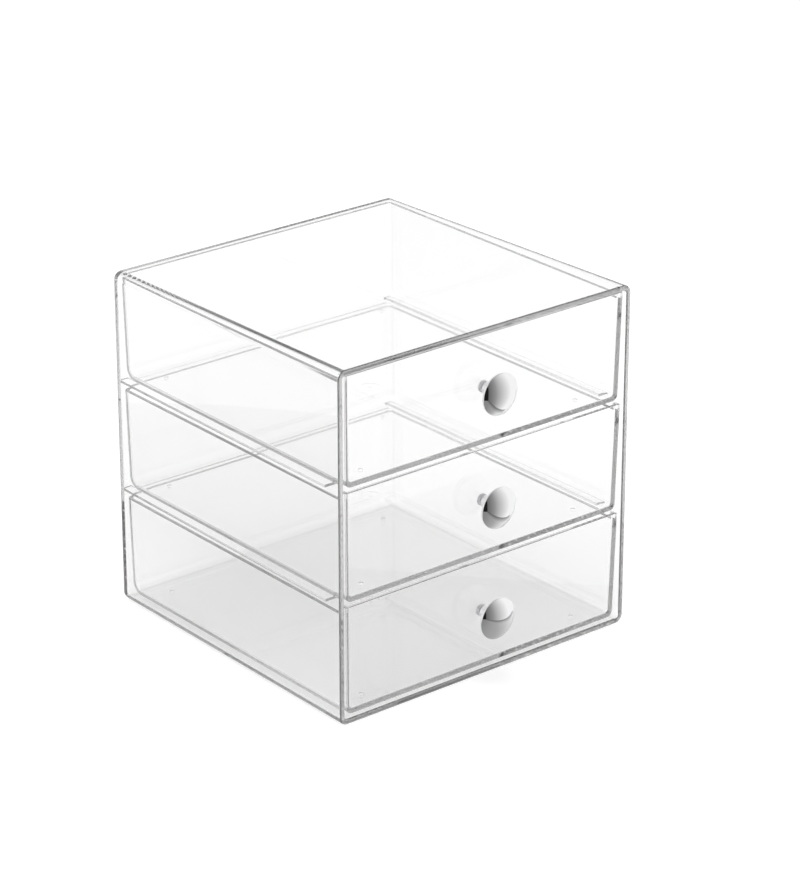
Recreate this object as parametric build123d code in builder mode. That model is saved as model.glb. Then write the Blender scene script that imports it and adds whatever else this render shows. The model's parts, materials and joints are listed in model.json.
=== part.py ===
"""Clear drawer tower: an open-fronted case, four guide rails and three pull-out drawers with round knobs.

Millimetres, +Z up. The origin is the centre of the case's underside, and the drawers pull out towards -Y.
A depth is measured back from the plane of the case's front rim.
"""
import os
from math import cos, radians, sin, tan

from build123d import *

os.makedirs("parts", exist_ok=True)

# Case: one clear moulding, open in front, that narrows towards its back
case_width = 177.8
case_depth = 177.8
case_height = 177.8
side_taper = 1.85
top_taper = 3.1
case_wall = 2.8
case_edge_radius = 4.5
case_back_radius = 3.0
cavity_back_radius = 1.0
rim_rounding = 0.9

# Drawers: equal clear tubs whose front panel stands above their other walls
drawer_names = ["bottom", "middle", "top"]
slide_clearance = 0.1
panel_gap = 1.8
top_gap = 0.5
wall_drop = 3.3
drawer_wall = 2.0
drawer_floor = 2.0
drawer_draft = 1.0
front_recess = 0.8
front_side_gap = 1.7
back_side_gap = 0.9
back_gap = 0.6
shoulder_flat = 0.4
panel_edge_rounding = 0.5
inner_panel_rounding = 0.6
back_curve_radius = 7.0
inner_back_curve_radius = 5.0
edge_radius = 3.2
inner_edge_radius = 2.0
wall_rounding = 0.4

# Moulded marks on each drawer's underside: four feet, and a round gate dimple with its nub
foot_height = 1.0
foot_radius = 1.2
foot_taper = 8.0
foot_side_inset = 22.9
foot_front_depth = 14.0
foot_back_inset = 14.4
gate_depth = 88.5
gate_radius = 5.0
gate_recess = 0.15
gate_nub_radius = 0.8

# Guide rails: clear strips along the case's side walls
rail_thickness = 1.3
rail_width = 6.6
rail_front_depth = 12.0
rail_rounding = 0.3

# Knobs, with sizes along the knob's axis measured out from the front panel
knob_rise = 0.35
stem_radius = 3.2
stem_length = 4.6
neck_radius = 3.0
head_radius = 10.5
head_back = 8.8
head_rim = 9.8
head_top = 13.9
head_edge_rounding = 0.45

# Screws that hold the knobs from inside the drawers
screw_radius = 1.5
screw_reach = 5.0
screw_head_radius = 3.0
screw_head_height = 1.9
screw_head_rounding = 0.9
cross_length = 3.4
cross_width = 0.8
cross_depth = 1.1
thread_clearance = 0.05
bore_spare = 0.6
panel_hole_clearance = 0.2

# Sizes and places worked out from the ones above. The panels and their gaps fill the case's height
drawer_count = len(drawer_names)
cavity_height = case_height - 2 * case_wall
panel_gaps = (drawer_count - 1) * panel_gap
front_heights = cavity_height - slide_clearance - foot_height - panel_gaps - top_gap
front_height = front_heights / drawer_count
side_height = front_height - wall_drop
drawer_pitch = front_height + panel_gap
knob_height = front_height / 2 + knob_rise
front_plane = -case_depth / 2
cavity_depth = case_depth - case_wall
drawer_back_depth = cavity_depth - back_gap
foot_back_depth = drawer_back_depth - foot_back_inset
lean = tan(radians(drawer_draft))
panel_thickness = drawer_wall * cos(radians(drawer_draft))
knob_direction = Vector(0, -cos(radians(drawer_draft)), -sin(radians(drawer_draft)))


def case_side(depth):
    """Half of the case's outer width at a depth."""
    return case_width / 2 - side_taper * depth / case_depth


def case_top(depth):
    """Height of the case's top face at a depth."""
    return case_height - top_taper * depth / case_depth


def drawer_base(level):
    """Height of a drawer's underside. The bottom drawer slides on its feet, the others on their rails."""
    return case_wall + slide_clearance + foot_height + level * drawer_pitch


def panel_depth(height):
    """Depth of the front panel's outer face at a height above the drawer's underside."""
    return front_recess + (front_height - height) * lean


def knob_seat(level):
    """Plane on a drawer's front panel that faces out along its knob's axis."""
    centre = (0, front_plane + panel_depth(knob_height), drawer_base(level) + knob_height)
    return Plane(origin=centre, x_dir=(1, 0, 0), z_dir=knob_direction)


def knob_profile_plane(level):
    """Plane through a knob's axis: its x is the radius, and its y is the way out from the panel."""
    seat = knob_seat(level)
    return Plane(origin=seat.origin, x_dir=seat.x_dir, z_dir=seat.x_dir.cross(knob_direction))


def tapered_block(back_depth, inset, edge_radius, back_radius):
    """Block from the front rim to back_depth that follows the case's tapers, drawn in by inset all round."""
    front_half = case_side(0) - inset
    back_half = case_side(back_depth) - inset
    back_y = front_plane + back_depth
    with BuildPart() as block:
        with BuildSketch(Plane.YZ.offset(-case_width / 2)):
            with BuildLine():
                Polyline(
                    (front_plane, inset),
                    (back_y, inset),
                    (back_y, case_top(back_depth) - inset),
                    (front_plane, case_top(0) - inset),
                    close=True,
                )
            make_face()
        extrude(amount=case_width)
        with BuildSketch():
            with BuildLine():
                Polyline(
                    (-front_half, front_plane),
                    (front_half, front_plane),
                    (back_half, back_y),
                    (-back_half, back_y),
                    close=True,
                )
            make_face()
        extrude(amount=case_height, mode=Mode.INTERSECT)
        end_edges = block.faces().filter_by(Axis.Y).edges()
        fillet(block.edges() - end_edges, radius=edge_radius)
        fillet(block.faces().sort_by(Axis.Y)[-1].edges(), radius=back_radius)
    return block.part


def tub_block(level, height, inset, curve_radius, side_radius, panel_rounding):
    """Block with a drawer's draft on all four sides, from a height above its underside to its panel's top."""
    draw_in = (front_height - height) * lean + inset
    front_half = case_side(front_recess) - case_wall - front_side_gap - draw_in
    back_half = case_side(drawer_back_depth) - case_wall - back_side_gap - draw_in
    front_y = front_plane + front_recess + draw_in
    back_y = front_plane + drawer_back_depth - draw_in
    low_plane = Plane.XY.offset(drawer_base(level) + height)
    with BuildPart() as block:
        with BuildSketch(low_plane):
            with BuildLine():
                Polyline(
                    (-front_half, front_y),
                    (front_half, front_y),
                    (back_half, back_y),
                    (-back_half, back_y),
                    close=True,
                )
            make_face()
        extrude(amount=front_height - height)
        walls = block.faces() - block.faces().filter_by(Axis.Z)
        draft(walls, neutral_plane=low_plane, angle=-drawer_draft)

        # A deep curve under the back, a smaller one along each side and up its back corner, and a crisp front
        low_edges = block.faces().sort_by(Axis.Z)[0].edges()
        fillet(low_edges.sort_by(Axis.Y)[-1], radius=curve_radius)
        sides = block.faces().sort_by(Axis.X)
        side_edges = [face.edges().sort_by(Axis.Y)[1:].sort_by(Axis.Z)[:-1] for face in (sides[0], sides[-1])]
        fillet(side_edges[0] + side_edges[1], radius=side_radius)
        front_edges = block.faces().sort_by(Axis.Y)[0].edges()
        fillet(front_edges.sort_by(Axis.Z)[:-1], radius=panel_rounding)
    return block.part


def make_case():
    """Shell with a top, an underside, two sides and a back, drawn off its core through the open front."""
    skin = tapered_block(case_depth, 0, case_edge_radius, case_back_radius)
    core = tapered_block(cavity_depth, case_wall, case_edge_radius - case_wall, cavity_back_radius)
    with BuildPart() as case:
        add(skin)
        add(core, mode=Mode.SUBTRACT)
        front_rim = case.faces().sort_by(Axis.Y)[0]
        fillet(front_rim.edges(), radius=rim_rounding)
    return case


def make_rail(level, side):
    """Strip on a side wall that carries the drawer of a level. side is -1 on the left, 1 on the right."""
    inner_edge = side * (case_side(rail_front_depth) - case_wall - rail_width)
    front_y = front_plane + rail_front_depth
    back_y = front_plane + cavity_depth
    with BuildPart() as rail:
        underside = drawer_base(level) - slide_clearance - rail_thickness
        with BuildSketch(Plane.XY.offset(underside)) as strip:
            with BuildLine():
                Polyline(
                    (inner_edge, front_y),
                    (side * (case_side(rail_front_depth) - case_wall), front_y),
                    (side * (case_side(cavity_depth) - case_wall), back_y),
                    (inner_edge, back_y),
                    close=True,
                )
            make_face()
            wall_corner = strip.vertices().group_by(Axis.Y)[-1].sort_by(Axis.X)[min(0, -side)]
            fillet(wall_corner, radius=cavity_back_radius)
        extrude(amount=rail_thickness)
        inner_face = rail.faces().filter_by(Axis.X)[0]
        fillet(inner_face.edges().filter_by(Axis.Y), radius=rail_rounding)
    return rail


def make_drawer(level):
    """Tapered tub with rounded edges, feet and a hole for the knob's screw."""
    base = drawer_base(level)
    inner_radii = (inner_back_curve_radius, inner_edge_radius, inner_panel_rounding)
    skin = tub_block(level, 0, 0, back_curve_radius, edge_radius, panel_edge_rounding)
    core = tub_block(level, drawer_floor, drawer_wall, *inner_radii)
    with BuildPart() as drawer:
        add(skin)
        add(core, mode=Mode.SUBTRACT)

        # The side and back walls stop short, below the rail or the case's top
        shoulder = inner_panel_rounding + wall_rounding + shoulder_flat
        step_y = front_plane + panel_depth(side_height) + drawer_wall + shoulder
        with BuildSketch(Plane.XY.offset(base + side_height)):
            with Locations((0, step_y)):
                Rectangle(case_width, case_depth, align=(Align.CENTER, Align.MIN))
        extrude(amount=front_height - side_height, mode=Mode.SUBTRACT)
        wall_rim, panel_rim = drawer.faces().filter_by(Axis.Z).sort_by(Axis.Z)[-2:]
        free_edges = wall_rim.edges().sort_by(Axis.Y)[2:] + panel_rim.edges()
        fillet(free_edges, radius=wall_rounding)

        # Feet and gate mark under the floor
        foot_length = foot_back_depth - foot_front_depth
        foot_middle_y = front_plane + (foot_front_depth + foot_back_depth) / 2
        with BuildSketch(Plane.XY.offset(base)):
            with Locations((0, foot_middle_y)):
                with GridLocations(case_width - 2 * foot_side_inset, foot_length, 2, 2):
                    Circle(foot_radius)
        extrude(amount=-foot_height, taper=foot_taper)
        with BuildSketch(Plane.XY.offset(base)):
            with Locations((0, front_plane + gate_depth)):
                Circle(gate_radius)
                Circle(gate_nub_radius, mode=Mode.SUBTRACT)
        extrude(amount=gate_recess, mode=Mode.SUBTRACT)

        with Locations(knob_seat(level)):
            Hole(radius=screw_radius + panel_hole_clearance, depth=2 * drawer_wall)
    return drawer


def make_knob(level):
    """Domed head on a round stem, turned about its axis, with a blind bore for the screw."""
    bore_radius = screw_radius + thread_clearance
    bore_depth = screw_reach + bore_spare
    neck_end = (stem_radius + neck_radius, stem_length + neck_radius)
    with BuildPart() as knob:
        with BuildSketch(knob_profile_plane(level)) as profile:
            with BuildLine():
                Polyline((bore_radius, 0), (stem_radius, 0), (stem_radius, stem_length))
                TangentArc((stem_radius, stem_length), neck_end, tangent=(0, 1))
                Polyline(neck_end, (head_radius, head_back), (head_radius, head_rim))
                TangentArc((0, head_top), (head_radius, head_rim), tangent=(1, 0))
                Polyline((0, head_top), (0, bore_depth), (bore_radius, bore_depth), (bore_radius, 0))
            make_face()
            head_edge = profile.vertices().group_by(Axis.X)[-1]
            fillet(head_edge, radius=head_edge_rounding)
        revolve(axis=Axis(knob_seat(level).origin, knob_direction))
    return knob


def make_screw(level):
    """Pan-head screw that comes through the front panel into the knob."""
    seat = knob_seat(level)
    under_head = -panel_thickness
    head_end = under_head - screw_head_height
    with BuildPart() as screw:
        with BuildSketch(knob_profile_plane(level)) as profile:
            with BuildLine():
                Polyline(
                    (0, screw_reach),
                    (screw_radius, screw_reach),
                    (screw_radius, under_head),
                    (screw_head_radius, under_head),
                    (screw_head_radius, head_end),
                    (0, head_end),
                    close=True,
                )
            make_face()
            head_corner = profile.vertices().group_by(Axis.X)[-1].sort_by(Axis.Y)[-1]
            fillet(head_corner, radius=screw_head_rounding)
        revolve(axis=Axis(seat.origin, knob_direction))
        with BuildSketch(seat.offset(head_end)):
            Rectangle(cross_length, cross_width)
            Rectangle(cross_width, cross_length)
        extrude(amount=cross_depth, mode=Mode.SUBTRACT)
    return screw


def keep(piece, name):
    """Labels a finished piece and writes it to its file."""
    piece.part.label = name
    export_step(piece.part, f"parts/{name}.step")


keep(make_case(), "case")
for level, name in enumerate(drawer_names):
    if level > 0:
        keep(make_rail(level, -1), f"rail_{name}_left")
        keep(make_rail(level, 1), f"rail_{name}_right")
    keep(make_drawer(level), f"drawer_{name}")
    keep(make_knob(level), f"knob_{name}")
    keep(make_screw(level), f"screw_{name}")
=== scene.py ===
import json
from math import pi

import bpy
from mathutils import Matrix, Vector

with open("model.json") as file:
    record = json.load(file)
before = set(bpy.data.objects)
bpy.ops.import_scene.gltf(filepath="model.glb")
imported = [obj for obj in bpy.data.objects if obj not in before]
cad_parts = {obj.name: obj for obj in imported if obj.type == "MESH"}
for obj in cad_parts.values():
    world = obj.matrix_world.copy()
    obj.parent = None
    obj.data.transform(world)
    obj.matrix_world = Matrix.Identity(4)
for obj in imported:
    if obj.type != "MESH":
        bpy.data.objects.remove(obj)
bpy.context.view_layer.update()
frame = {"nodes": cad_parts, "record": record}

# Lengths are in metres. A turn is counted in half turns from straight ahead of the drawers, so the right
# side is at 0.5 and the left side at -0.5. A height is that of a direction, from 0 at the horizon to 1
# straight up. Steps pair a place, height or turn with the grey there, from 0 for black to 1 for white.

# How many surfaces light may pass or bounce off: it runs along the clear walls as in a light guide
path_length = 96

# Camera, fitted to the corners of the case in the photograph
camera_place = (-1.0115, -1.2557, 0.7791)
camera_target = (0.0122, -0.0093, 0.0893)
camera_lens_mm = 145.8
camera_near = 0.05
camera_far = 20

# Soft lamp overhead, which keeps the shadow under the object
lamp_place = (0, 0, 1.6)
lamp_target = (0, 0, 0.09)
lamp_size = 0.8
lamp_watts = 7.0

# Table top, with a glow of its own for the camera and another for rays that come through plastic
floor_size = 3.0
floor_drop = 0.0002
floor_level = 0.82
floor_glow = 0.4
floor_glow_through = 0.29

# Painted shade darkens the table's left side a little through plastic, by the distance to the right of the
# middle
left_side_painted_shade_steps = [(-0.15, 0.72), (-0.10, 1.0)]

# The table as surfaces mirror it, with painted shade that only reflections show. It ends along a slanting
# edge at the front right, where a place's distances to the right and to the front add up to the reach. It
# has painted shade over a width before that edge, except past the turn of the edge's end. In front on the
# left it ends at the foot of a dark card, and is painted darker towards it. Beyond both the room shows.
edge_reach = 0.228
edge_width = 0.055
edge_painted_shade_level = 0.3
edge_end_turn = 0.27
card_distance = 0.38
card_turn = -0.115
# Painted shade of the mirrored table, by turn
mirrored_table_painted_shade_steps = [
    (-0.97, 1.0), (-0.88, 0.5), (-0.6, 0.5), (-0.30, 0.8),
    (-0.22, 0.22), (-0.10, 0.28), (0.02, 0.42), (0.12, 0.7), (0.25, 0.95),
]

# Light from all around for matt surfaces and through plastic, by height
sky_steps = [(0.4, 0.95), (0.8, 0.7)]

# Room that surfaces mirror: by height behind, and by turn in front, where the dark card stands. The front
# reaches this turn to both sides. From the height of the fade to that of the top it gives way to the back.
room_height_steps = [(0.0, 1.0), (0.5, 0.95), (0.8, 0.4)]
room_front_steps = [
    (-0.30, 0.9), (-0.25, 0.012), (-0.155, 0.012), (-0.15, 0.14),
    (-0.02, 0.30), (0.10, 0.55), (0.34, 1.0),
]
room_front_turn = 0.5
room_front_fade = 0.65
room_front_top = 0.95

# Materials. A smudge is fine noise, in features per metre, between two roughnesses. A ripple is broad
# noise, in features per metre, with its depth. The plastic absorbs light by its body's colour and density.
plastic_ior = 1.57
plastic_tint = (1, 1, 1, 1)
plastic_shade = (0.98, 0.98, 0.98, 1)
plastic_body_colour = (0.9, 0.9, 0.9, 1)
plastic_body_density = 23.0
plastic_smudge = (60, 0.0, 0.03)
plastic_ripple = (25, 0.00003)
chrome_colour = (0.9, 0.9, 0.91, 1)
chrome_smudge = (400, 0.02, 0.08)
chrome_ripple = (150, 0.00002)
steel_colour = (0.68, 0.68, 0.7, 1)
steel_smudge = (2500, 0.2, 0.4)

scene = bpy.context.scene


def new_tree(name):
    """Material with an empty node tree. Returns it with its tree."""
    material = bpy.data.materials.new(name)
    material.use_nodes = True
    material.node_tree.nodes.clear()
    return material, material.node_tree


def add_node(tree, kind, **inputs):
    """Node of a kind with some of its sockets set by name. Underscores in a name stand for spaces."""
    node = tree.nodes.new(kind)
    for name, value in inputs.items():
        node.inputs[name.replace("_", " ")].default_value = value
    return node


def compute(tree, operation, *values):
    """Math node on numbers or sockets. Returns its result."""
    node = tree.nodes.new("ShaderNodeMath")
    node.operation = operation
    for socket, value in zip(node.inputs, values):
        if isinstance(value, bpy.types.NodeSocket):
            tree.links.new(value, socket)
        else:
            socket.default_value = value
    return node.outputs["Value"]


def rescale(tree, value, **limits):
    """Maps a value from one range onto another, and stays in it. Limits not given are 0 and 1."""
    span = add_node(tree, "ShaderNodeMapRange", **limits)
    tree.links.new(value, span.inputs["Value"])
    return span.outputs["Result"]


def ramp(tree, value, steps, low=-1.0, high=1.0):
    """Level of grey for a value between low and high, which changes evenly from step to step."""
    node = tree.nodes.new("ShaderNodeValToRGB")
    stops = node.color_ramp.elements
    while len(stops) < len(steps):
        stops.new(0.5)
    for stop, (position, level) in zip(stops, steps):
        stop.position = (position - low) / (high - low)
        stop.color = (level, level, level, 1)
    tree.links.new(rescale(tree, value, From_Min=low, From_Max=high), node.inputs["Fac"])
    return node.outputs["Color"]


def noise(tree, scale, detail):
    """Noise over the object's own coordinates, in features per metre."""
    place = tree.nodes.new("ShaderNodeTexCoord")
    texture = add_node(tree, "ShaderNodeTexNoise", Scale=scale, Detail=detail)
    tree.links.new(place.outputs["Object"], texture.inputs["Vector"])
    return texture.outputs["Fac"]


def add_smudge(tree, shader, scale, low, high):
    """Varies a shader's roughness with fine noise."""
    roughness = rescale(tree, noise(tree, scale, detail=3), To_Min=low, To_Max=high)
    tree.links.new(roughness, shader.inputs["Roughness"])


def add_ripple(tree, shader, scale, depth):
    """Makes a shader's surface slightly wavy with broad noise."""
    wave = add_node(tree, "ShaderNodeBump", Distance=depth)
    tree.links.new(noise(tree, scale, detail=1), wave.inputs["Height"])
    tree.links.new(wave.outputs["Normal"], shader.inputs["Normal"])


def mix_shaders(tree, share, first, second):
    """The first of two shaders where the share is 0, the second where it is 1."""
    mix = tree.nodes.new("ShaderNodeMixShader")
    tree.links.new(share, mix.inputs["Fac"])
    tree.links.new(first, mix.inputs[1])
    tree.links.new(second, mix.inputs[2])
    return mix.outputs["Shader"]


def show(tree, surface, kind="ShaderNodeOutputMaterial"):
    """Output node that shows a surface. Returns it."""
    output = tree.nodes.new(kind)
    tree.links.new(surface, output.inputs["Surface"])
    return output


def ray_kinds(tree):
    """Sockets that are 1 for rays of a kind, by the kind's name."""
    return tree.nodes.new("ShaderNodeLightPath").outputs


def mirrored(tree):
    """1 for rays that left a surface as from a mirror, 0 for others, also those that came through it."""
    rays = ray_kinds(tree)
    reflected_only = compute(tree, "SUBTRACT", rays["Is Glossy Ray"], rays["Is Transmission Ray"])
    return compute(tree, "MAXIMUM", reflected_only, 0.0)


def split_place(tree, coordinates):
    """The x, y and z of a place on an object, or of a direction into the world."""
    place = tree.nodes.new("ShaderNodeTexCoord")
    parts = tree.nodes.new("ShaderNodeSeparateXYZ")
    tree.links.new(place.outputs[coordinates], parts.inputs["Vector"])
    return [parts.outputs[axis] for axis in "XYZ"]


def turn_from_front(tree, x, y):
    """Turn of a place or direction from straight ahead of the drawers, from -1 to 1 in half turns."""
    ahead = compute(tree, "MULTIPLY", y, -1.0)
    return compute(tree, "DIVIDE", compute(tree, "ARCTAN2", x, ahead), pi)


def clear_plastic(name):
    """Clear polished plastic that lets lamp light through, with a moulding's faint waviness and smudges."""
    material, tree = new_tree(name)
    glass = add_node(
        tree,
        "ShaderNodeBsdfPrincipled",
        Base_Color=plastic_tint,
        Transmission_Weight=1.0,
        IOR=plastic_ior,
    )
    add_smudge(tree, glass, *plastic_smudge)
    add_ripple(tree, glass, *plastic_ripple)
    open_to_lamps = add_node(tree, "ShaderNodeBsdfTransparent", Color=plastic_shade)
    shadow_ray = ray_kinds(tree)["Is Shadow Ray"]
    surface = mix_shaders(tree, shadow_ray, glass.outputs["BSDF"], open_to_lamps.outputs["BSDF"])
    body = add_node(
        tree,
        "ShaderNodeVolumeAbsorption",
        Color=plastic_body_colour,
        Density=plastic_body_density,
    )
    output = show(tree, surface)
    tree.links.new(body.outputs["Volume"], output.inputs["Volume"])
    return material


def chrome(name):
    """Bright plated metal with a faint ripple and fine smudges."""
    material, tree = new_tree(name)
    metal = add_node(tree, "ShaderNodeBsdfPrincipled", Base_Color=chrome_colour, Metallic=1.0)
    add_smudge(tree, metal, *chrome_smudge)
    add_ripple(tree, metal, *chrome_ripple)
    show(tree, metal.outputs["BSDF"])
    return material


def zinc_steel(name):
    """Duller plated steel of the screws, with a fine grain."""
    material, tree = new_tree(name)
    metal = add_node(tree, "ShaderNodeBsdfPrincipled", Base_Color=steel_colour, Metallic=1.0)
    add_smudge(tree, metal, *steel_smudge)
    show(tree, metal.outputs["BSDF"])
    return material


def lit_table(tree, x):
    """Matt table that holds the object's shadow, with a glow that lifts its lit parts to white."""
    rays = ray_kinds(tree)
    not_through = compute(tree, "SUBTRACT", 1.0, rays["Is Transmission Ray"])
    # Painted shade: the table's left side is darker for rays that come through plastic
    level = compute(tree, "MAXIMUM", ramp(tree, x, left_side_painted_shade_steps), not_through)
    matt = tree.nodes.new("ShaderNodeBsdfDiffuse")
    tree.links.new(compute(tree, "MULTIPLY", level, floor_level), matt.inputs["Color"])

    seen = compute(tree, "MULTIPLY", rays["Is Camera Ray"], floor_glow)
    seen_through = compute(tree, "MULTIPLY", rays["Is Transmission Ray"], floor_glow_through)
    glow = tree.nodes.new("ShaderNodeEmission")
    tree.links.new(level, glow.inputs["Color"])
    tree.links.new(compute(tree, "ADD", seen, seen_through), glow.inputs["Strength"])

    both = tree.nodes.new("ShaderNodeAddShader")
    tree.links.new(matt.outputs["BSDF"], both.inputs[0])
    tree.links.new(glow.outputs["Emission"], both.inputs[1])
    return both.outputs["Shader"]


def mirrored_table(tree, x, y):
    """The table as surfaces mirror it, with painted shade by turn and before its edge. It ends at that edge
    and at the foot of the dark card.
    """
    turn = turn_from_front(tree, x, y)
    reach = compute(tree, "SUBTRACT", x, y)
    # Painted shade before the table's edge and by turn, which only reflections show
    edge_steps = [(edge_reach - edge_width, 1.0), (edge_reach, edge_painted_shade_level)]
    past_end = compute(tree, "GREATER_THAN", turn, edge_end_turn)
    edge_shade = compute(tree, "MAXIMUM", ramp(tree, reach, edge_steps), past_end)
    table = tree.nodes.new("ShaderNodeEmission")
    tree.links.new(ramp(tree, turn, mirrored_table_painted_shade_steps), table.inputs["Color"])
    tree.links.new(edge_shade, table.inputs["Strength"])

    squares = [compute(tree, "MULTIPLY", side, side) for side in (x, y)]
    distance = compute(tree, "SQRT", compute(tree, "ADD", *squares))
    past_foot = compute(tree, "GREATER_THAN", distance, card_distance)
    left_of_card_end = compute(tree, "LESS_THAN", turn, card_turn)
    past_card = compute(tree, "MULTIPLY", past_foot, left_of_card_end)
    past_edge = compute(tree, "GREATER_THAN", reach, edge_reach)
    nothing = tree.nodes.new("ShaderNodeBsdfTransparent")
    beyond = compute(tree, "MAXIMUM", past_edge, past_card)
    return mix_shaders(tree, beyond, table.outputs["Emission"], nothing.outputs["BSDF"])


def table_white(name):
    """White table top, with painted shade where a surface mirrors it and on its left side through plastic.
    """
    material, tree = new_tree(name)
    x, y = split_place(tree, "Object")[:2]
    show(tree, mix_shaders(tree, mirrored(tree), lit_table(tree, x), mirrored_table(tree, x, y)))
    return material


def make_floor():
    """Table top under the object."""
    bpy.ops.mesh.primitive_plane_add(size=floor_size, location=(0, 0, -floor_drop))
    floor = bpy.context.object
    floor.name = "floor"
    floor.data.materials.append(table_white("table_white"))


def background(tree, level):
    """World shader with a level of grey at its plain strength."""
    light = add_node(tree, "ShaderNodeBackground", Strength=1.0)
    tree.links.new(level, light.inputs["Color"])
    return light.outputs["Background"]


def make_world():
    """White to the camera, light from all around for the object, and a room that surfaces mirror."""
    world = bpy.data.worlds.new("studio")
    scene.world = world
    world.use_nodes = True
    tree = world.node_tree
    tree.nodes.clear()
    x, y, z = split_place(tree, "Generated")

    turn = turn_from_front(tree, x, y)
    in_front = compute(tree, "LESS_THAN", compute(tree, "ABSOLUTE", turn), room_front_turn)
    at_top = rescale(tree, z, From_Min=room_front_fade, From_Max=room_front_top)
    front_share = compute(tree, "MULTIPLY", in_front, compute(tree, "SUBTRACT", 1.0, at_top))
    room_behind = background(tree, ramp(tree, z, room_height_steps, low=0.0))
    front_levels = ramp(tree, turn, room_front_steps, -room_front_turn, room_front_turn)
    room_in_front = background(tree, front_levels)
    room = mix_shaders(tree, front_share, room_behind, room_in_front)

    sky = background(tree, ramp(tree, z, sky_steps, low=0.0))
    around = mix_shaders(tree, mirrored(tree), sky, room)
    white = add_node(tree, "ShaderNodeBackground", Color=(1, 1, 1, 1), Strength=1.0)
    camera_ray = ray_kinds(tree)["Is Camera Ray"]
    show(tree, mix_shaders(tree, camera_ray, around, white.outputs["Background"]), "ShaderNodeOutputWorld")


def aim(thing, target):
    """Turns a lamp or camera to look at a point."""
    thing.rotation_euler = (Vector(target) - thing.location).to_track_quat("-Z", "Y").to_euler()


def make_lamp():
    """Square soft lamp that only matt surfaces see."""
    light = bpy.data.lights.new("top_lamp", "AREA")
    light.size = lamp_size
    light.energy = lamp_watts
    lamp = bpy.data.objects.new("top_lamp", light)
    scene.collection.objects.link(lamp)
    lamp.location = lamp_place
    aim(lamp, lamp_target)
    lamp.visible_glossy = False
    lamp.visible_transmission = False


def make_camera():
    """Camera at the photograph's angle."""
    data = bpy.data.cameras.new("camera")
    data.lens = camera_lens_mm
    data.clip_start = camera_near
    data.clip_end = camera_far
    camera = bpy.data.objects.new("camera", data)
    scene.collection.objects.link(camera)
    camera.location = camera_place
    aim(camera, camera_target)
    scene.camera = camera


def finish_parts():
    """Gives each piece of the frame the material of its slot in the record."""
    makers = {"clear_plastic": clear_plastic, "chrome": chrome, "screw_steel": zinc_steel}
    finishes = {slot: make(slot) for slot, make in makers.items()}
    for part in frame["record"]["subparts"]:
        for slot in frame["nodes"][part["node"]].material_slots:
            slot.material = finishes[part["material_slot"]]


def set_light_paths():
    """Lets light run on along the clear walls."""
    scene.cycles.max_bounces = path_length
    scene.cycles.glossy_bounces = path_length
    scene.cycles.transmission_bounces = path_length
    scene.cycles.transparent_max_bounces = path_length


finish_parts()
make_floor()
make_world()
make_lamp()
make_camera()
set_light_paths()
scene.view_settings.view_transform = "Standard"
